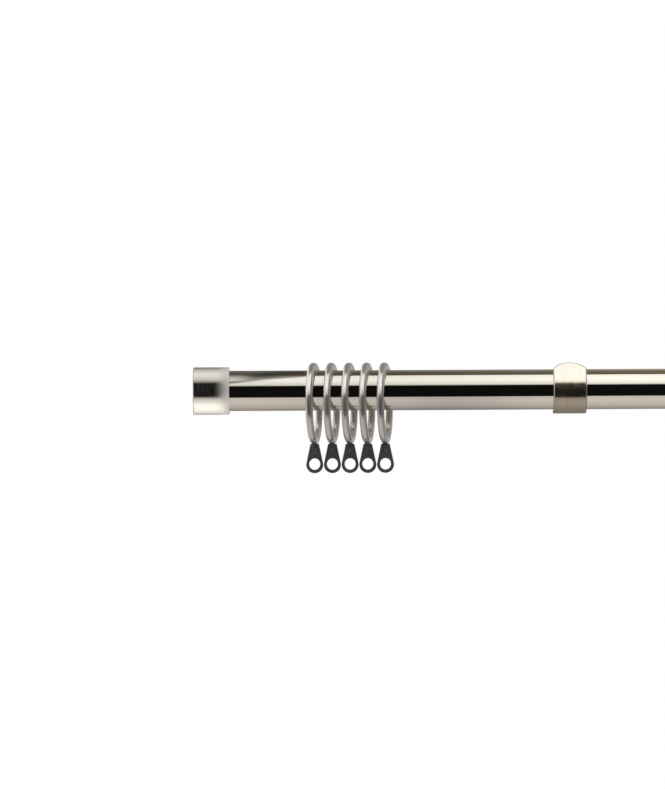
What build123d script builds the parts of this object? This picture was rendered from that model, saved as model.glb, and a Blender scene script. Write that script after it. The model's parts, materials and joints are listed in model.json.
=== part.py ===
from build123d import *
from math import cos, radians, sin
import os

# Extendable curtain rod: a slim tube that slides in a wider one, two wall brackets, two end caps
# and a bunch of rings with swivelling eyelets. All sizes are in millimetres.
# +X runs along the pole to the right, +Y goes into the wall and +Z is up. The origin is on the wall,
# midway between the two screw holes of the left bracket. The pole's centre line is at z = 0.

# Pole: where it lies and how far it reaches
pole_standoff = 85.0  # wall to the pole's centre line
left_reach = 260.8  # left bracket's middle to the pole's left end
overall_length = 800.0  # end to end, as drawn
pull_out_travel = 400.0  # how much further the slim tube slides out

# Tubes
tube_dia = 28.0
tube_wall = 0.8
tube_length = 600.0
slim_dia = 25.0
slim_wall = 0.8

# Clearances
running_clear = 0.05  # radial, where a tube slides in plastic
seat_clear = 0.02  # radial, where two pieces stay together
cap_clear = 0.1  # radial, cap over tube
cradle_clear = 0.3  # radial, pole in its bracket
end_gap = 0.2  # tube end to the cap's floor
stop_gap = 0.5  # guide to bush, with the slim tube pulled right out

# End caps
cap_length = 25.0
cap_wall = 2.4
cap_floor = 2.5
cap_edge_round = 0.5
cap_screw_dia = 3.0
cap_screw_inset = 12.0  # screw's axis to the cap's open rim
cap_screw_key = 1.5  # across the flats of the hexagon socket
cap_screw_sink = 0.2  # below the cap's surface

# Brackets, stamped from thick sheet and bent
strip_width = 23.1
strip_thickness = 2.5
strip_edge_round = 1.1
hook_lift = 45.0  # degrees that the hook wraps up the pole's front, above the horizontal
hook_tail = 4.0  # flat part of full width behind the pole's centre line
lip_length = 10.1  # straight tip of the hook, to the top of its arch
lip_arch_radius = 14.5
lip_corner_round = 2.0
arm_width = 14.0
arm_taper_length = 9.0  # from the full width to the arm's
arm_taper_round = 6.0
bend_radius = 1.5  # inside of the bend at the wall
wall_disc_dia = 27.0
wall_disc_corner = 1.5  # where the disc runs into the arm
wall_hole_dia = 4.5
wall_hole_spacing = 17.0
clamp_screw_dia = 4.0
clamp_screw_key = 2.0
right_bracket_inset = 60.0  # right bracket's middle to the pole's right end

# Plastic pieces between the two tubes
bush_spigot_length = 30.0
bush_flange = 1.5
guide_length = 30.0
guide_floor = 2.0
guide_plug_length = 12.0
guide_plug_wall = 1.5
slot_width = 2.0
slot_length = 18.0
slot_count = 4

# Reducing sleeves, which fill out the slim tube to the size of the wide one
sleeve_split = 3.0
cap_sleeve_length = 22.0

# Rings
ring_count = 5
ring_pitch = 12.28
ring_bunch_inset = 108.2  # the pole's left end to the middle ring
ring_bore_dia = 46.5
ring_width = 5.0  # along the pole
ring_depth = 5.0  # radially
ring_edge_round = 2.1
ring_hang_gap = 0.25  # ring to the pole's top
ring_yaw = 7.5  # degrees: the far side of each ring stands further to the right
ring_lean = 0.5  # degrees: the foot of each ring hangs further to the right
ring_seat_dia = 4.4  # flat for the rivet's head, inside the ring
ring_seat_depth = 0.8
ring_spot_dia = 6.6  # flat for the eyelet, under the ring
ring_spot_depth = 0.35

# Eyelets and the rivets that they turn on
eyelet_dia = 11.8
eyelet_hole_dia = 7.9
eyelet_hole_rise = 0.4  # hole's centre above the middle of the round end
eyelet_thickness = 1.8
eyelet_edge_round = 0.4
eyelet_drop = 14.2  # ring's lowest point to the middle of the round end
eyelet_yaw = 8.0  # degrees that the eyelets face to the right
eyelet_boss_dia = 5.8
eyelet_boss_height = 3.4
eyelet_boss_taper = 3.5  # length in which the boss runs out into the flat tag
rivet_dia = 2.0
rivet_grip = 2.9  # length inside the eyelet's boss
rivet_clear = 0.08  # radial, in the ring's hole
rivet_end_gap = 0.1  # ring to the rivet's head, and ring to the eyelet
rivet_head_dia = 3.8
rivet_head_height = 1.1

# Places that follow from these sizes
tube_start_x = -left_reach + cap_floor + end_gap
mouth_x = tube_start_x + tube_length
right_end_x = -left_reach + overall_length
slim_end_x = right_end_x - cap_floor - end_gap
right_bracket_x = right_end_x - right_bracket_inset
guide_front_x = mouth_x - bush_spigot_length - stop_gap - pull_out_travel
slim_start_x = guide_front_x - guide_length
tube_radius = tube_dia / 2
slim_radius = slim_dia / 2
cradle_radius = tube_radius + cradle_clear
strip_outer_radius = cradle_radius + strip_thickness
bend_outer_radius = bend_radius + strip_thickness
ring_bunch_x = -left_reach + ring_bunch_inset
ring_bore_radius = ring_bore_dia / 2
ring_outer_radius = ring_bore_radius + ring_depth
ring_centre_z = tube_radius + ring_hang_gap - ring_bore_radius
ring_bottom_z = ring_centre_z - ring_outer_radius
ring_seat_z = ring_centre_z - ring_bore_radius - ring_seat_depth
ring_spot_z = ring_bottom_z + ring_spot_depth
eyelet_top_z = ring_spot_z - rivet_end_gap
eyelet_middle_z = ring_bottom_z - eyelet_drop
ring_foot_offset = ring_outer_radius * sin(radians(ring_lean))

os.makedirs("parts", exist_ok=True)


def write(piece, label):
    piece.part.label = label
    export_step(piece.part, f"parts/{label}.step")


def across_pole(x):
    # looks along the pole: its own x is +Y and its own y is up
    return Plane(origin=(x, -pole_standoff, 0), x_dir=(0, 1, 0), z_dir=(1, 0, 0))


def along_pole(x, way=1):
    # cuts the pole lengthwise: its own x runs to the right, or to the left where way is -1
    return Plane(origin=(x, -pole_standoff, 0), x_dir=(way, 0, 0), z_dir=(0, -way, 0))


def pole_axis(x):
    return Axis((x, -pole_standoff, 0), (1, 0, 0))


def under_pole(x, drop):
    # faces down, below the pole's centre line
    return Plane(origin=(x, -pole_standoff, -drop), x_dir=(1, 0, 0), z_dir=(0, 0, -1))


def make_tube(start_x, length, diameter, wall):
    with BuildPart() as tube:
        with BuildSketch(across_pole(start_x)):
            Circle(diameter / 2)
            Circle(diameter / 2 - wall, mode=Mode.SUBTRACT)
        extrude(amount=length)
    return tube


def make_cap(end_x, way):
    # a turned cup, open towards the middle of the pole
    bore = tube_radius + cap_clear
    outside = bore + cap_wall
    with BuildPart() as cap:
        with BuildSketch(along_pole(end_x, way)):
            with BuildLine():
                Polyline(
                    (0, 0), (0, outside), (cap_length, outside), (cap_length, bore),
                    (cap_floor, bore), (cap_floor, 0), close=True,
                )
            make_face()
        revolve(axis=pole_axis(end_x))
        fillet(cap.edges().filter_by(GeomType.CIRCLE).group_by(SortBy.RADIUS)[-1], cap_edge_round)
        with Locations(under_pole(end_x + way * (cap_length - cap_screw_inset), outside)):
            Hole(cap_screw_dia / 2 + running_clear, depth=cap_wall + end_gap)
    return cap


def make_grub_screw(x, tip_drop, base_drop, diameter, key):
    # stands on end under the pole, tip up, with its hexagon socket facing down
    length = base_drop - tip_drop
    with BuildPart() as screw:
        with BuildSketch(under_pole(x, tip_drop)):
            Circle(diameter / 2)
        extrude(amount=length)
        chamfer(screw.edges().group_by(Axis.Z)[-1], length / 8)
        with BuildSketch(under_pole(x, base_drop)):
            RegularPolygon(key / 2, 6, major_radius=False)
        extrude(amount=-length / 2, mode=Mode.SUBTRACT)
    return screw


def add_flat_arm(x):
    # seen from above: full width under the pole, tapering to the arm that runs to the bend
    half_strip, half_arm = strip_width / 2, arm_width / 2
    taper_end = hook_tail + arm_taper_length
    arm_end = pole_standoff - bend_outer_radius
    with BuildSketch(Plane(origin=(x, -pole_standoff, -strip_outer_radius))) as flat:
        with BuildLine():
            Polyline((0, 0), (half_strip, 0), (half_strip, hook_tail), (half_arm, taper_end),
                     (half_arm, arm_end), (0, arm_end))
            mirror(about=Plane.YZ)
        make_face()
        tail_corners, taper_corners = flat.vertices().group_by(Axis.Y)[1:3]
        fillet(tail_corners + taper_corners, arm_taper_round)
    extrude(flat.sketch, amount=strip_thickness)


def add_wall_disc(wall_face):
    # runs down into the arm's width, and ends where the bend starts
    upwards = (Align.CENTER, Align.MIN)
    with BuildSketch(wall_face) as disc:
        Circle(wall_disc_dia / 2)
        with Locations((0, bend_outer_radius - strip_outer_radius)):
            Rectangle(arm_width, wall_disc_dia / 2, align=upwards)
            Rectangle(wall_disc_dia, wall_disc_dia * 2, align=upwards, mode=Mode.INTERSECT)
        fillet(disc.vertices().group_by(Axis.Y)[1], wall_disc_corner)
    extrude(disc.sketch, amount=strip_thickness)


def trim_lip(lip_face):
    # cuts the hook's tip to an arch
    with BuildSketch(lip_face) as trimming:
        with Locations((0, lip_length)):
            Rectangle(strip_width * 2, strip_width)
        with Locations((0, lip_length - lip_arch_radius)):
            Circle(lip_arch_radius, mode=Mode.SUBTRACT)
    extrude(trimming.sketch, amount=strip_thickness * 2, both=True, mode=Mode.SUBTRACT)


def runs_through_sheet(edge):
    # true of the short straight edges that cross the sheet's thickness
    return edge.geom_type == GeomType.LINE and abs(edge.length - strip_thickness) < seat_clear


def make_bracket(x):
    # one sheet: a disc on the wall, an arm out under the pole, a hook round it and a leaning lip
    wall_face = Plane(origin=(x, 0, 0), x_dir=(1, 0, 0), z_dir=(0, -1, 0))
    lift = radians(hook_lift)
    hook_end = (
        x,
        -pole_standoff - strip_outer_radius * cos(lift),
        strip_outer_radius * sin(lift),
    )
    lip_face = Plane(origin=hook_end, x_dir=(1, 0, 0), z_dir=(0, -cos(lift), sin(lift)))
    hook_start = (-pole_standoff, -strip_outer_radius)
    bend_start = (0, bend_outer_radius - strip_outer_radius)
    with BuildPart() as bracket:
        with BuildSketch(Plane.YZ.offset(x)):
            with BuildLine():
                hook = JernArc(hook_start, (-1, 0), strip_outer_radius, -90 - hook_lift)
                Line(hook @ 1, hook @ 1 + (hook % 1) * lip_length)
                offset(amount=strip_thickness, side=Side.RIGHT)
            make_face()
        extrude(amount=strip_width / 2, both=True)
        trim_lip(lip_face)
        fillet(bracket.edges().filter_by(Axis(hook_end, lip_face.z_dir)), lip_corner_round)
        add_flat_arm(x)
        with BuildSketch(Plane.YZ.offset(x)):
            with BuildLine():
                JernArc(bend_start, (0, -1), bend_outer_radius, -90)
                offset(amount=strip_thickness, side=Side.RIGHT)
            make_face()
        extrude(amount=arm_width / 2, both=True)
        add_wall_disc(wall_face)
        outline = bracket.edges().filter_by(Axis.X, reverse=True)
        fillet(outline.filter_by(runs_through_sheet, reverse=True), strip_edge_round)
        with Locations(wall_face):
            with GridLocations(0, wall_hole_spacing, 1, 2):
                Hole(wall_hole_dia / 2, depth=strip_thickness + end_gap)
        with Locations(under_pole(x, strip_outer_radius)):
            Hole(clamp_screw_dia / 2 + running_clear, depth=strip_thickness + end_gap)
    return bracket


def make_reducing_sleeve(start_x, length):
    # a split plastic tube, slit along its top so that the screw below can close it
    middle_radius = (slim_radius + tube_radius) / 2
    with BuildPart() as sleeve:
        with BuildSketch(across_pole(start_x)):
            Circle(tube_radius)
            Circle(slim_radius + running_clear, mode=Mode.SUBTRACT)
            with Locations((0, middle_radius)):
                Rectangle(sleeve_split, middle_radius, mode=Mode.SUBTRACT)
        extrude(amount=length)
    return sleeve


def cut_relief_slots(start_x, outer_radius):
    # lets a plastic wall give way a little, so that it grips without sticking
    with BuildSketch(across_pole(start_x)) as slots:
        with PolarLocations(outer_radius, slot_count, 45):
            Rectangle(outer_radius - slim_radius + tube_wall, slot_width)
    extrude(slots.sketch, amount=slot_length, mode=Mode.SUBTRACT)


def make_mouth_bush():
    # a flange closes the wide tube's end, and a spigot inside it guides the slim tube
    bore = slim_radius + running_clear
    spigot = tube_radius - tube_wall - seat_clear
    with BuildPart() as bush:
        with BuildSketch(along_pole(mouth_x)):
            with BuildLine():
                Polyline(
                    (-bush_spigot_length, bore), (-bush_spigot_length, spigot), (0, spigot),
                    (0, tube_radius), (bush_flange, tube_radius), (bush_flange, bore), close=True,
                )
            make_face()
        revolve(axis=pole_axis(mouth_x))
        rim = bush.edges().filter_by(GeomType.CIRCLE).group_by(Axis.X)[-1].sort_by(SortBy.RADIUS)[-1]
        chamfer(rim, bush_flange / 3)
        cut_relief_slots(mouth_x - bush_spigot_length, spigot)
    return bush


def make_tail_guide():
    # a cup on the slim tube's hidden end, with a plug inside the tube and slots in its skirt
    outside = tube_radius - tube_wall - running_clear
    seat = slim_radius + seat_clear
    plug = slim_radius - slim_wall - seat_clear
    with BuildPart() as guide:
        with BuildSketch(along_pole(slim_start_x)):
            with BuildLine():
                Polyline(
                    (-guide_floor, 0), (-guide_floor, outside), (guide_length, outside),
                    (guide_length, seat), (0, seat), (0, plug), (guide_plug_length, plug),
                    (guide_plug_length, plug - guide_plug_wall), (0, plug - guide_plug_wall),
                    (0, 0), close=True,
                )
            make_face()
        revolve(axis=pole_axis(slim_start_x))
        cut_relief_slots(guide_front_x - slot_length, outside)
    return guide


def level_plane(x, z):
    return Plane(origin=(x, -pole_standoff, z))


def upright_plane(x):
    # stands over the pole's centre line: its own x is +X and its own y is up
    return Plane(origin=(x, -pole_standoff, 0), x_dir=(1, 0, 0), z_dir=(0, -1, 0))


def make_ring(x):
    # a rounded bar bent into a hoop, drilled at its foot, with flats round both ends of the hole
    yaw = radians(ring_yaw)
    centre = (x, -pole_standoff, ring_centre_z)
    hoop_axis = Vector(cos(yaw), -sin(yaw), 0).rotate(Axis.Y, -ring_lean)
    bar_end = Vector(-sin(yaw), -cos(yaw), 0).rotate(Axis.Y, -ring_lean)
    foot_x = x + ring_foot_offset
    with BuildPart() as ring:
        with BuildSketch(Plane(origin=centre, x_dir=hoop_axis, z_dir=bar_end)):
            with Locations((0, ring_bore_radius + ring_depth / 2)):
                RectangleRounded(ring_width, ring_depth, ring_edge_round)
        revolve(axis=Axis(centre, hoop_axis))
        with BuildSketch(level_plane(foot_x, ring_seat_z)):
            Circle(ring_seat_dia / 2)
        extrude(amount=ring_depth, mode=Mode.SUBTRACT)
        with BuildSketch(level_plane(foot_x, ring_spot_z)):
            Circle(ring_spot_dia / 2)
        extrude(amount=-ring_depth, mode=Mode.SUBTRACT)
        with Locations(level_plane(foot_x, ring_seat_z)):
            Hole(rivet_dia / 2 + rivet_clear, depth=ring_depth)
    return ring


def make_eyelet(x):
    # a flat drop-shaped tag that thickens at its top into a round boss, bored for the rivet
    yaw = radians(eyelet_yaw)
    tag_height = eyelet_top_z - eyelet_middle_z
    boss_radius = eyelet_boss_dia / 2
    boss_end_z = eyelet_top_z - eyelet_boss_height
    face_normal = (sin(yaw), -cos(yaw), 0)
    face = Plane((x, -pole_standoff, eyelet_middle_z), x_dir=(cos(yaw), sin(yaw), 0), z_dir=face_normal)
    with BuildPart() as eyelet:
        with BuildSketch(face):
            Circle(eyelet_dia / 2)
            with Locations((0, tag_height / 2)):
                Rectangle(eyelet_boss_dia, tag_height)
            make_hull()
            with Locations((0, eyelet_hole_rise)):
                Circle(eyelet_hole_dia / 2, mode=Mode.SUBTRACT)
        extrude(amount=eyelet_thickness / 2, both=True)
        broad_sides = eyelet.faces().filter_by(Axis(face.origin, face.z_dir))
        fillet([side.outer_wire().edges() for side in broad_sides], eyelet_edge_round)
        with BuildSketch(upright_plane(x)):
            with BuildLine():
                Polyline(
                    (0, eyelet_top_z), (boss_radius, eyelet_top_z), (boss_radius, boss_end_z),
                    (eyelet_thickness / 2, boss_end_z - eyelet_boss_taper),
                    (0, boss_end_z - eyelet_boss_taper), close=True,
                )
            make_face()
        revolve(axis=Axis((x, -pole_standoff, 0), (0, 0, 1)))
        with Locations(level_plane(x, eyelet_top_z)):
            Hole(rivet_dia / 2 + seat_clear, depth=rivet_grip + seat_clear)
    return eyelet


def make_rivet(x):
    # a domed head inside the ring, on a shank that is fast in the eyelet's boss
    head_z = ring_seat_z + rivet_end_gap
    tip_z = eyelet_top_z - rivet_grip
    with BuildPart() as rivet:
        with BuildSketch(upright_plane(x)):
            with BuildLine():
                shank = Polyline(
                    (0, head_z + rivet_head_height), (0, tip_z), (rivet_dia / 2, tip_z),
                    (rivet_dia / 2, head_z), (rivet_head_dia / 2, head_z),
                )
                TangentArc(shank @ 0, shank @ 1, tangent=(1, 0))
            make_face()
        revolve(axis=Axis((x, -pole_standoff, 0), (0, 0, 1)))
    return rivet


slim_length = slim_end_x - slim_start_x
write(make_tube(tube_start_x, tube_length, tube_dia, tube_wall), "outer_tube")
write(make_tube(slim_start_x, slim_length, slim_dia, slim_wall), "inner_tube")
write(make_mouth_bush(), "tube_mouth_bush")
write(make_tail_guide(), "inner_tube_guide")

cap_outer_radius = tube_radius + cap_clear + cap_wall
for side, end_x, way in (("left", -left_reach, 1), ("right", right_end_x, -1)):
    write(make_cap(end_x, way), f"{side}_end_cap")
    cap_screw = make_grub_screw(
        end_x + way * (cap_length - cap_screw_inset),
        tube_radius + seat_clear,
        cap_outer_radius - cap_screw_sink,
        cap_screw_dia,
        cap_screw_key,
    )
    write(cap_screw, f"{side}_cap_screw")

for side, bracket_x in (("left", 0), ("right", right_bracket_x)):
    write(make_bracket(bracket_x), f"{side}_bracket")
    clamp_screw = make_grub_screw(
        bracket_x, tube_radius + seat_clear, strip_outer_radius, clamp_screw_dia, clamp_screw_key
    )
    write(clamp_screw, f"{side}_clamp_screw")

write(make_reducing_sleeve(right_bracket_x - strip_width / 2, strip_width), "bracket_sleeve")
write(make_reducing_sleeve(slim_end_x - cap_sleeve_length, cap_sleeve_length), "cap_sleeve")

for number in range(ring_count):
    ring_x = ring_bunch_x + (number - (ring_count - 1) / 2) * ring_pitch
    foot_x = ring_x + ring_foot_offset
    write(make_ring(ring_x), f"ring_{number + 1}")
    write(make_eyelet(foot_x), f"eyelet_{number + 1}")
    write(make_rivet(foot_x), f"eyelet_rivet_{number + 1}")
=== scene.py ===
import bpy
import json
import math
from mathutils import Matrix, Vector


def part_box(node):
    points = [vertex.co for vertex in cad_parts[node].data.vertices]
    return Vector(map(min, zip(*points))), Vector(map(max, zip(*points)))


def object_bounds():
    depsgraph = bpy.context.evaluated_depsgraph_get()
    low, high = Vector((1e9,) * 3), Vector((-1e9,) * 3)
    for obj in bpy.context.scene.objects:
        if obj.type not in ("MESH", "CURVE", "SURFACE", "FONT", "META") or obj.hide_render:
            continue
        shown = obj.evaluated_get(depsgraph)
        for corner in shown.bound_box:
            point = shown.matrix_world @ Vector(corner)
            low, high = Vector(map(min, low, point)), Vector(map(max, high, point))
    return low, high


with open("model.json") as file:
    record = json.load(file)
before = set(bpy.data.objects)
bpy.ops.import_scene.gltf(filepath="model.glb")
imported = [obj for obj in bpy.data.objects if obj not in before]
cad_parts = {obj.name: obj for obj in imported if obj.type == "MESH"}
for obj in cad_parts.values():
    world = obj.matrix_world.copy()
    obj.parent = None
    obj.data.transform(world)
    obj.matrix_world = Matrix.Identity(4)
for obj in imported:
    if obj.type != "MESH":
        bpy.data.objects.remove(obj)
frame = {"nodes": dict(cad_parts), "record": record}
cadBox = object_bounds()
print("frame loaded:", len(frame["nodes"]), "nodes")

# the pole's centre line runs along X at this depth, read off the wide tube
tubeLow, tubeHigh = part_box("outer_tube")
poleY = (tubeLow.y + tubeHigh.y) / 2
middleX = (cadBox[0].x + cadBox[1].x) / 2


# helpers for shader nodes: an input is a value or the socket that gives it
def addNode(tree, kind, inputs=None, **settings):
    node = tree.nodes.new(kind)
    for name, value in settings.items():
        setattr(node, name, value)
    for name, value in (inputs or {}).items():
        socket = node.inputs[name]
        if isinstance(value, bpy.types.NodeSocket):
            tree.links.new(value, socket)
        else:
            socket.default_value = value
    return node


def mathNode(tree, operation, first, second=0.0):
    return addNode(tree, "ShaderNodeMath", {0: first, 1: second}, operation=operation).outputs[0]


def mapNode(tree, value, fromLow, fromHigh, toLow=0.0, toHigh=1.0, smooth=False):
    return addNode(
        tree, "ShaderNodeMapRange",
        {"Value": value, "From Min": fromLow, "From Max": fromHigh, "To Min": toLow, "To Max": toHigh},
        interpolation_type="SMOOTHSTEP" if smooth else "LINEAR",
    ).outputs["Result"]


def mixNode(tree, factor, first, second, blend="MIX"):
    sockets = {0: factor, 6: first, 7: second}  # 6 and 7 are the Mix node's colours
    return addNode(tree, "ShaderNodeMix", sockets, data_type="RGBA", blend_type=blend).outputs[2]


def mixShaders(tree, factor, first, second):
    return addNode(tree, "ShaderNodeMixShader", {0: factor, 1: first, 2: second}).outputs[0]


def rampNode(tree, factor, stops):
    ramp = addNode(tree, "ShaderNodeValToRGB", {"Fac": factor})
    elements = ramp.color_ramp.elements
    while len(elements) < len(stops):
        elements.new(0.5)
    for element, (place, shade) in zip(elements, stops):
        element.position = place
        element.color = (*shade, 1) if isinstance(shade, tuple) else (shade, shade, shade, 1)
    return ramp.outputs["Color"]


def shadeAlong(tree, angle, stops):
    # a shade that changes with an angle, from the first stop's place to the last one's
    low, high = stops[0][0], stops[-1][0]
    place = mapNode(tree, angle, low, high)
    return rampNode(tree, place, [((at - low) / (high - low), shade) for at, shade in stops])


# camera: square on to the wall, a long way off. Lengths are in metres, and the roll is in degrees.
cameraSettings = {
    "distance": 3.1,
    "centreX": -0.16435,
    "centreZ": -0.0028,
    "heightSeen": 0.5475,
    "roll": 0.29,
    "sensorWidth": 36,
    "farthest": 50,
}


def makeCamera(settings):
    data = bpy.data.cameras.new("camera")
    data.sensor_width = settings["sensorWidth"]
    data.lens = settings["sensorWidth"] * settings["distance"] / settings["heightSeen"]
    data.clip_end = settings["farthest"]
    camera = bpy.data.objects.new("camera", data)
    camera.location = (settings["centreX"], poleY - settings["distance"], settings["centreZ"])
    camera.rotation_euler = (math.radians(90), math.radians(settings["roll"]), 0)
    bpy.context.scene.collection.objects.link(camera)
    bpy.context.scene.camera = camera


makeCamera(cameraSettings)
print("camera placed")

# rooms: what each group of pieces mirrors. Turns are in degrees round the pole: -180 is straight
# behind, -90 below, 0 in front, 90 above and 180 behind again. Slants are the sine of the angle to
# the left (-) or right (+) of straight ahead. Bands are shades by turn, gains are factors by slant,
# and the side bands take over between their two slants. Half is half the room's width in metres. No
# two rooms are alike in it, so that no wall lies in another.
endSlants = (0.925, 0.965)  # between these the plain end walls take over
poleRoom = {
    "half": 1000,
    "strength": 1.25,
    "bands": [
        (-180, (0.26, 0.25, 0.25)),
        (-150, (0.23, 0.22, 0.22)),
        (-125, (0.36, 0.345, 0.35)),
        (-105, (0.48, 0.46, 0.46)),
        (-65, (0.60, 0.58, 0.585)),
        (-41, (0.54, 0.53, 0.53)),
        (-38, (0.005, 0.005, 0.006)),
        (26, (0.005, 0.005, 0.005)),
        (28.5, (0.52, 0.53, 0.53)),
        (34, (0.80, 0.81, 0.82)),
        (56, (1.03, 1.06, 1.09)),
        (72, (1.04, 1.07, 1.11)),
        (92, (0.93, 0.95, 0.96)),
        (95, (0.11, 0.09, 0.07)),
        (120, (0.14, 0.122, 0.10)),
        (150, (0.26, 0.245, 0.225)),
        (180, (0.40, 0.39, 0.38)),
    ],
    "windowTurn": -5,  # the window's gain starts here, inside the black band
    "ceilingTurn": 94,
    "windowGain": [(0.015, 1.0), (0.065, 1.19)],
    "ceilingGain": [(-0.0075, 0.72), (0.073, 1.28)],
    "floorGain": [
        (-0.26, 0.60), (-0.12, 1.15), (-0.03, 1.15), (0.015, 1.0), (0.021, 0.885),
        (0.03, 0.885), (0.045, 1.12), (0.06, 1.16), (0.12, 1.16), (0.26, 0.60),
    ],
    "leftSlants": (-0.24, -0.46),
    "leftBands": [
        (-180, 0.40), (-146, 0.32), (-70, 0.50), (-44, 0.40), (-37, 0.05),
        (24, 0.05), (31, 0.62), (60, 0.98), (92, 0.92), (99, 0.26), (150, 0.32), (180, 0.40),
    ],
    "rightSlants": (0.24, 0.46),
    "rightBands": [
        (-180, 0.34), (-146, 0.28), (-70, 0.44), (-44, 0.34), (-37, 0.04),
        (24, 0.04), (31, 0.52), (60, 0.88), (92, 0.82), (99, 0.22), (150, 0.28), (180, 0.34),
    ],
    "leftEnd": (0.60, 0.585, 0.56, 1),
    "rightEnd": (0.40, 0.39, 0.375, 1),
}
ringRoom = {
    "half": 900,
    "strength": 1.25,
    "bands": [
        (-180, (0.44, 0.42, 0.415)), (-60, (0.43, 0.41, 0.405)), (-42, (0.38, 0.36, 0.355)),
        (-36, 0.025), (24, 0.025), (30, (0.60, 0.60, 0.59)), (56, (1.03, 1.05, 1.06)),
        (90, (0.90, 0.91, 0.91)), (98, (0.14, 0.125, 0.11)), (150, (0.22, 0.205, 0.19)),
        (180, (0.44, 0.42, 0.415)),
    ],
    "leftSlants": (-0.24, -0.52),
    "leftBands": [
        (-180, 0.52), (-146, 0.42), (-60, 0.40), (-41, 0.34), (-36, 0.09),
        (24, 0.09), (32, 0.66), (90, 0.90), (98, 0.80), (180, 0.90),
    ],
    "rightSlants": (0.24, 0.44),
    "rightBands": [
        (-180, 0.26), (-146, 0.24), (-60, 0.20), (-41, 0.18), (-36, 0.08),
        (24, 0.08), (34, 0.12), (84, 0.12), (98, 0.32), (150, 0.32), (180, 0.26),
    ],
    "leftEnd": (0.70, 0.68, 0.65, 1),
    "rightEnd": (0.12, 0.115, 0.11, 1),
}
capRoom = {
    "half": 800,
    "strength": 1.0,
    "bands": [
        (-180, 0.22), (-156, 0.5), (-124, (0.98, 0.98, 0.97)), (-103, (1.30, 1.31, 1.30)),
        (-72, (1.28, 1.29, 1.27)), (-53, (0.92, 0.92, 0.90)), (-37, (0.62, 0.61, 0.60)), (-32, 0.30),
        (-28, 0.008), (38, 0.008), (45, (0.34, 0.33, 0.32)), (60, (0.80, 0.77, 0.74)),
        (89, (1.0, 0.99, 0.98)), (120, (0.64, 0.63, 0.61)), (143, (0.30, 0.29, 0.28)), (180, 0.22),
    ],
    "leftSlants": (-0.12, -0.28),
    "leftBands": [
        (-180, 0.42), (-146, 0.34), (-60, 0.30), (-30, 0.42), (30, 0.42), (50, 0.30),
        (90, 0.40), (130, 0.34), (180, 0.42),
    ],
    "rightSlants": (0.24, 0.46),
    "rightBands": [
        (-180, 0.50), (-146, 0.85), (-60, 0.98), (-37, 0.50), (-30, 0.12), (30, 0.12),
        (50, 0.55), (90, 0.80), (130, 0.50), (180, 0.50),
    ],
    "leftEnd": (0.50, 0.48, 0.46, 1),
    "rightEnd": (0.30, 0.29, 0.28, 1),
}
bracketRoom = {
    "half": 700,
    "strength": 1.0,
    "bands": [
        (-180, (0.18, 0.165, 0.155)), (-106, (0.29, 0.255, 0.23)), (-68, (0.41, 0.355, 0.31)),
        (-43, (0.36, 0.31, 0.265)), (-37, (0.016, 0.013, 0.010)), (-2, (0.016, 0.013, 0.010)),
        (5, (0.038, 0.031, 0.025)), (29, (0.045, 0.035, 0.026)), (33, (0.90, 0.81, 0.68)),
        (42, (1.36, 1.29, 1.18)), (66, (1.36, 1.33, 1.28)), (100, (1.31, 1.30, 1.26)),
        (106, 0.12), (180, 0.12),
    ],
    "leftSlants": (-0.30, -0.52),
    "leftBands": [
        (-180, 0.30), (-146, 0.26), (-60, 0.34), (-41, 0.30), (-36, 0.20), (24, 0.20),
        (34, 0.70), (90, 0.90), (120, 0.60), (180, 0.40),
    ],
    "rightSlants": (0.30, 0.52),
    "rightBands": [
        (-180, 0.20), (-146, 0.20), (-60, 0.26), (-41, 0.22), (-36, 0.14), (24, 0.14),
        (34, 0.45), (90, 0.60), (120, 0.40), (180, 0.28),
    ],
    "leftEnd": (0.50, 0.48, 0.45, 1),
    "rightEnd": (0.03, 0.028, 0.025, 1),
}
studioSettings = {
    "plainStrength": 0.8,
    "keyPlace": (-0.7, -1.7, 1.4),
    "keyWidth": 1.3,
    "keyWatts": 14,
    "floorZ": -1.0,
    "floorWidth": 7.0,
    "floorColour": (0.9, 0.9, 0.89, 1),
    "floorRoughness": 0.9,
}

# blind: a grey sheet that hangs over the window's top on the far left. Its lower edge is a turn by
# slant, and its shades go by degrees above that edge: fade further off, nearFade with a dark hem
# close to the cap.
blindSettings = {
    "edge": [
        (-0.0224, 41.5), (-0.0188, 52), (-0.0170, 59), (-0.0152, 65), (-0.0107, 75.5), (-0.0062, 84),
    ],
    "edgeSoftness": 1.5,
    "ceilingTurn": 92,
    "fade": [
        (0, 0.42), (6, 0.34), (10, 0.26), (22, 0.125), (30, 0.07), (40, 0.045), (50, 0.055), (90, 0.16),
    ],
    "nearSlants": (-0.0170, -0.0224),
    "nearFade": [
        (0, 0.25), (9, 0.20), (15, 0.45), (21, 0.74), (28, 0.74), (35, 0.62), (42, 0.52), (50, 0.35),
        (59, 0.20), (69, 0.07), (81, 0.09), (90, 0.14),
    ],
}


def mirroredBands(tree, turn, slant, settings):
    # floor, window and ceiling each have their own gain along the slant
    bands = shadeAlong(tree, turn, settings["bands"])
    isWindow = mathNode(tree, "GREATER_THAN", turn, settings["windowTurn"])
    isCeiling = mathNode(tree, "GREATER_THAN", turn, settings["ceilingTurn"])
    floorGain, windowGain, ceilingGain = [
        shadeAlong(tree, slant, settings[name]) for name in ("floorGain", "windowGain", "ceilingGain")
    ]
    gain = mixNode(tree, isWindow, floorGain, windowGain)
    gain = mixNode(tree, isCeiling, gain, ceilingGain)
    return mixNode(tree, 1.0, bands, gain, "MULTIPLY")


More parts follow.
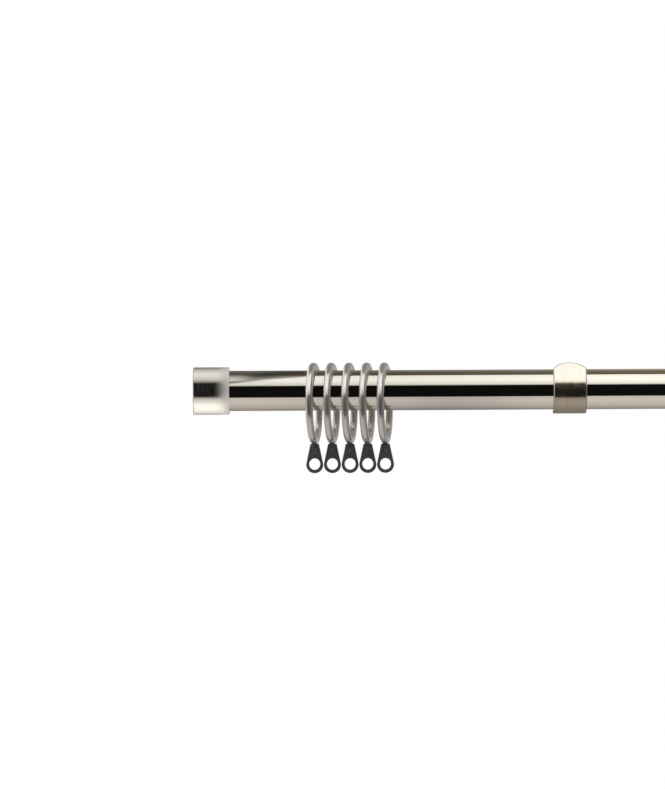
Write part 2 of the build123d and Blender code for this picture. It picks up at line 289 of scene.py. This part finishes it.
def mirroredBlind(tree, bands, turn, slant, settings):
    # the edge's turn goes through the ramp as a share of a right angle, because a ramp holds shades
    edgeShares = shadeAlong(tree, slant, [(at, edgeTurn / 90) for at, edgeTurn in settings["edge"]])
    edge = mathNode(tree, "MULTIPLY", edgeShares, 90)
    above = mathNode(tree, "SUBTRACT", turn, edge)
    near = mapNode(tree, slant, *settings["nearSlants"], smooth=True)
    farSheet = shadeAlong(tree, above, settings["fade"])
    nearSheet = shadeAlong(tree, above, settings["nearFade"])
    sheet = mixNode(tree, near, farSheet, nearSheet)
    # over the window the sheet hides all, and above it only what is brighter than the sheet
    isCeiling = mathNode(tree, "GREATER_THAN", turn, settings["ceilingTurn"])
    hidden = mathNode(tree, "MULTIPLY", isCeiling, mathNode(tree, "SUBTRACT", 1.0, near))
    sheet = mixNode(tree, hidden, sheet, mixNode(tree, 1.0, sheet, bands, "DARKEN"))
    covered = mathNode(
        tree, "MULTIPLY",
        mapNode(tree, above, 0, settings["edgeSoftness"]),
        mathNode(tree, "LESS_THAN", slant, settings["edge"][-1][0]),
    )
    return mixNode(tree, covered, bands, sheet)


def roomLight(tree, turn, slant, settings, blind):
    if blind:
        shade = mirroredBlind(tree, mirroredBands(tree, turn, slant, settings), turn, slant, blind)
    else:
        shade = shadeAlong(tree, turn, settings["bands"])
    for side in ("left", "right"):
        toSide = mapNode(tree, slant, *settings[side + "Slants"], smooth=True)
        shade = mixNode(tree, toSide, shade, shadeAlong(tree, turn, settings[side + "Bands"]))
    isRight = mathNode(tree, "GREATER_THAN", slant, 0.0)
    ends = mixNode(tree, isRight, settings["leftEnd"], settings["rightEnd"])
    toEnd = mapNode(tree, mathNode(tree, "ABSOLUTE", slant), *endSlants, smooth=True)
    return mixNode(tree, toEnd, shade, ends)


def makeRoom(name, settings, nodes, blind=None):
    # a box so large that the place where a ray meets it gives the ray's direction. It lights only
    # the given nodes, by light linking, and the other nodes' rays pass through it.
    half = settings["half"]
    corners = [(x, y, z) for x in (-half, half) for y in (-half, half) for z in (-half, half)]
    faces = [(0, 1, 3, 2), (4, 6, 7, 5), (0, 4, 5, 1), (2, 3, 7, 6), (0, 2, 6, 4), (1, 5, 7, 3)]
    mesh = bpy.data.meshes.new(name)
    mesh.from_pydata(corners, [], faces)
    room = bpy.data.objects.new(name, mesh)
    bpy.context.scene.collection.objects.link(room)
    receivers = bpy.data.collections.new(name + "Receivers")
    for node in nodes:
        receivers.objects.link(frame["nodes"][node])
    room.light_linking.receiver_collection = receivers

    material = bpy.data.materials.new(name)
    material.use_nodes = True
    material.cycles.emission_sampling = "NONE"
    tree = material.node_tree
    tree.nodes.clear()
    place = addNode(tree, "ShaderNodeTexCoord").outputs["Object"]
    direction = addNode(tree, "ShaderNodeVectorMath", {0: place}, operation="NORMALIZE").outputs[0]
    axes = addNode(tree, "ShaderNodeSeparateXYZ", {0: direction}).outputs
    towardsFront = mathNode(tree, "MULTIPLY", axes[1], -1)
    angle = mathNode(tree, "ARCTAN2", axes[2], towardsFront)
    turn = mathNode(tree, "MULTIPLY", angle, 180 / math.pi)
    light = roomLight(tree, turn, axes[0], settings, blind)
    emission = addNode(
        tree, "ShaderNodeEmission", {"Color": light, "Strength": settings["strength"]}
    ).outputs[0]
    clear = addNode(tree, "ShaderNodeBsdfTransparent").outputs[0]
    both = addNode(tree, "ShaderNodeAddShader", {0: emission, 1: clear}).outputs[0]
    addNode(tree, "ShaderNodeOutputMaterial", {"Surface": both})
    mesh.materials.append(material)
    room.visible_camera = False
    room.visible_diffuse = False
    room.visible_shadow = False


def makeWorld(settings):
    # white behind the object, a plain light on it, and dark where a glossy ray sees the world,
    # since the rooms are what the pieces mirror
    world = bpy.data.worlds.new("studio")
    bpy.context.scene.world = world
    world.use_nodes = True
    tree = world.node_tree
    tree.nodes.clear()
    plain, dark, white = [
        addNode(tree, "ShaderNodeBackground", {"Color": (1, 1, 1, 1), "Strength": strength}).outputs[0]
        for strength in (settings["plainStrength"], 0, 1)
    ]
    path = addNode(tree, "ShaderNodeLightPath").outputs
    lit = mixShaders(tree, path["Is Glossy Ray"], plain, dark)
    shown = mixShaders(tree, path["Is Camera Ray"], lit, white)
    addNode(tree, "ShaderNodeOutputWorld", {"Surface": shown})


def makeStudio(settings):
    data = bpy.data.lights.new("keyLight", "AREA")
    data.shape = "SQUARE"
    data.size = settings["keyWidth"]
    data.energy = settings["keyWatts"]
    key = bpy.data.objects.new("keyLight", data)
    key.location = settings["keyPlace"]
    aim = -key.location
    key.rotation_euler = aim.to_track_quat("-Z", "Y").to_euler()
    key.visible_glossy = False
    bpy.context.scene.collection.objects.link(key)

    half = settings["floorWidth"] / 2
    mesh = bpy.data.meshes.new("floor")
    corners = [(-half, -half), (half, -half), (half, half), (-half, half)]
    mesh.from_pydata([(x, y, settings["floorZ"]) for x, y in corners], [], [(0, 1, 2, 3)])
    floor = bpy.data.objects.new("floor", mesh)
    bpy.context.scene.collection.objects.link(floor)
    paint = bpy.data.materials.new("paleFloor")
    paint.use_nodes = True
    shader = paint.node_tree.nodes["Principled BSDF"]
    shader.inputs["Base Color"].default_value = settings["floorColour"]
    shader.inputs["Roughness"].default_value = settings["floorRoughness"]
    # clear from below, so that the underside can be looked at
    tree = paint.node_tree
    fromBelow = addNode(tree, "ShaderNodeNewGeometry").outputs["Backfacing"]
    clear = addNode(tree, "ShaderNodeBsdfTransparent").outputs[0]
    seen = mixShaders(tree, fromBelow, shader.outputs[0], clear)
    tree.links.new(seen, tree.nodes["Material Output"].inputs["Surface"])
    mesh.materials.append(paint)
    floor.visible_glossy = False


def nodesOf(*slots):
    return [part["node"] for part in frame["record"]["subparts"] if part["material_slot"] in slots]


makeWorld(studioSettings)
makeStudio(studioSettings)
capNodes = nodesOf("brushed_nickel")
bracketNodes = nodesOf("bracket_nickel")
ringNodes = nodesOf("ring_nickel")
otherNodes = [node for node in frame["nodes"] if node not in capNodes + bracketNodes + ringNodes]
makeRoom("poleRoom", poleRoom, otherNodes, blindSettings)
makeRoom("ringRoom", ringRoom, ringNodes)
makeRoom("capRoom", capRoom, capNodes)
makeRoom("bracketRoom", bracketRoom, bracketNodes)
bpy.context.scene.view_settings.view_transform = "Standard"
print("studio ready")


# finishes. Lengths are in metres, and grain and mottle are noise in cycles per metre along x, y, z.
noiseLow, noiseHigh = 0.3, 0.7  # the noise keeps mostly between these
grainDetail, mottleDetail = 3.0, 2.0
polishUnevenness = (0.88, 1.12)  # the metals' roughness goes up and down by these factors


def newMaterial(name):
    material = bpy.data.materials.new(name)
    material.use_nodes = True
    tree = material.node_tree
    return material, tree, tree.nodes["Principled BSDF"]


def streaks(tree, scale, detail):
    # noise drawn out along an axis by a low number in scale
    place = addNode(tree, "ShaderNodeTexCoord").outputs["Object"]
    mapping = addNode(tree, "ShaderNodeMapping", {"Vector": place, "Scale": scale})
    return addNode(
        tree, "ShaderNodeTexNoise", {"Vector": mapping.outputs[0], "Scale": 1.0, "Detail": detail}
    ).outputs["Fac"]


edgeWear = {
    "reach": 0.0004,
    "likeness": (0.99, 0.86),  # from no wear to full wear
    "patches": (0.35, 0.6),
    "leastWear": 0.25,
    "brighter": 1.6,
    "brightest": (0.92, 0.91, 0.89, 1),
}


def wornTint(tree, tint, grain):
    # an edge is where the surface's direction, evened out over the reach, leaves its own one
    evened = addNode(tree, "ShaderNodeBevel", {"Radius": edgeWear["reach"]}, samples=4).outputs[0]
    own = addNode(tree, "ShaderNodeNewGeometry").outputs["Normal"]
    compared = addNode(tree, "ShaderNodeVectorMath", {0: evened, 1: own}, operation="DOT_PRODUCT")
    edge = mapNode(tree, compared.outputs["Value"], *edgeWear["likeness"])
    patches = mapNode(tree, grain, *edgeWear["patches"], edgeWear["leastWear"], 1)
    patchy = mathNode(tree, "MULTIPLY", edge, patches)
    gain = mapNode(tree, patchy, 0, 1, 1, edgeWear["brighter"])
    worn = addNode(tree, "ShaderNodeVectorMath", {0: tint, "Scale": gain}, operation="SCALE")
    return mixNode(tree, 1.0, worn.outputs[0], edgeWear["brightest"], "DARKEN")


def grainyShader(name, settings):
    # what every finish has: a tint that varies and wears, a fine grain and its bump
    material, tree, shader = newMaterial(name)
    fine = streaks(tree, settings["grain"], grainDetail)
    broad = streaks(tree, settings["mottle"], mottleDetail)
    tints = [(noiseLow, settings["colour"]), (noiseHigh, settings["paleColour"])]
    tint = rampNode(tree, broad, tints)
    tree.links.new(wornTint(tree, tint, broad), shader.inputs["Base Color"])
    bump = addNode(
        tree, "ShaderNodeBump", {"Height": fine, "Strength": 1.0, "Distance": settings["grainDepth"]}
    )
    tree.links.new(bump.outputs[0], shader.inputs["Normal"])
    roughness = mapNode(tree, fine, noiseLow, noiseHigh, *settings["roughness"])
    return material, tree, shader, broad, roughness


def makeMetal(name, settings):
    material, tree, shader, broad, streaky = grainyShader(name, settings)
    metallic = settings.get("metallic", 1)
    shader.inputs["Metallic"].default_value = metallic
    uneven = mapNode(tree, broad, noiseLow, noiseHigh, *polishUnevenness)
    roughness = mathNode(tree, "MULTIPLY", streaky, uneven)
    if "mattRim" in settings:
        # rougher and duller towards the caps' open rims, by the distance from the pole's middle
        place = addNode(tree, "ShaderNodeTexCoord").outputs["Object"]
        alongX = addNode(tree, "ShaderNodeSeparateXYZ", {0: place}).outputs[0]
        offMiddle = mathNode(tree, "ABSOLUTE", mathNode(tree, "SUBTRACT", alongX, middleX))
        rim = settings["mattRim"]
        share = mapNode(tree, offMiddle, *rim["fromMiddle"], smooth=True)
        rougher = mathNode(tree, "MULTIPLY", share, rim["roughness"])
        roughness = mathNode(tree, "ADD", roughness, rougher)
        duller = mapNode(tree, share, 0, 1, metallic, rim["metallic"])
        tree.links.new(duller, shader.inputs["Metallic"])
    tree.links.new(roughness, shader.inputs["Roughness"])
    return material


def makeDull(name, settings):
    material, tree, shader, _, roughness = grainyShader(name, settings)
    tree.links.new(roughness, shader.inputs["Roughness"])
    shader.inputs["Specular IOR Level"].default_value = settings["specular"]
    return material


metals = {
    "polished_nickel": {
        "colour": (0.66, 0.615, 0.53), "paleColour": (0.67, 0.625, 0.545), "roughness": (0.02, 0.035),
        "grain": (8, 900, 900), "grainDepth": 4e-7, "mottle": (12, 25, 25),
    },
    "brushed_nickel": {
        "colour": (0.765, 0.73, 0.658), "paleColour": (0.805, 0.77, 0.697), "roughness": (0.07, 0.22),
        "grain": (1100, 60, 60), "grainDepth": 6e-5, "mottle": (60, 120, 120),
        "mattRim": {"fromMiddle": (0.3862, 0.3722), "roughness": 0.55, "metallic": 0.60},
    },
    "bracket_nickel": {
        "colour": (0.74, 0.70, 0.63), "paleColour": (0.82, 0.77, 0.69), "roughness": (0.11, 0.21),
        "grain": (900, 60, 60), "grainDepth": 2e-5, "mottle": (450, 50, 50),
    },
    "ring_nickel": {
        "colour": (0.71, 0.67, 0.63), "paleColour": (0.75, 0.71, 0.67), "roughness": (0.18, 0.24),
        "grain": (1800, 300, 300), "grainDepth": 6e-6, "mottle": (80, 80, 80), "metallic": 0.92,
    },
    "screw_steel": {
        "colour": (0.30, 0.29, 0.28), "paleColour": (0.36, 0.35, 0.34), "roughness": (0.3, 0.4),
        "grain": (2000, 2000, 2000), "grainDepth": 1e-5, "mottle": (300, 300, 300),
    },
}
metals["inner_nickel"] = metals["polished_nickel"]
metals["rivet_nickel"] = {
    "colour": (0.72, 0.70, 0.66), "paleColour": (0.76, 0.74, 0.70), "roughness": (0.12, 0.18),
    "grain": (1500, 1500, 1500), "grainDepth": 3e-6, "mottle": (300, 300, 300),
}
dulls = {
    "gunmetal": {
        "colour": (0.044, 0.040, 0.044), "paleColour": (0.052, 0.048, 0.051), "roughness": (0.42, 0.55),
        "grain": (2500, 2500, 2500), "grainDepth": 1e-5, "mottle": (200, 200, 200), "specular": 0.35,
    },
    "guide_plastic": {
        "colour": (0.50, 0.50, 0.49), "paleColour": (0.55, 0.55, 0.54), "roughness": (0.4, 0.5),
        "grain": (1500, 1500, 1500), "grainDepth": 1e-5, "mottle": (120, 120, 120), "specular": 0.5,
    },
    "sleeve_plastic": {
        "colour": (0.24, 0.24, 0.24), "paleColour": (0.28, 0.28, 0.28), "roughness": (0.4, 0.5),
        "grain": (1500, 1500, 1500), "grainDepth": 1e-5, "mottle": (120, 120, 120), "specular": 0.5,
    },
}
finishes = {slot: makeMetal(slot, settings) for slot, settings in metals.items()}
finishes.update({slot: makeDull(slot, settings) for slot, settings in dulls.items()})
for part in frame["record"]["subparts"]:
    materials = frame["nodes"][part["node"]].data.materials
    materials.clear()
    materials.append(finishes[part["material_slot"]])
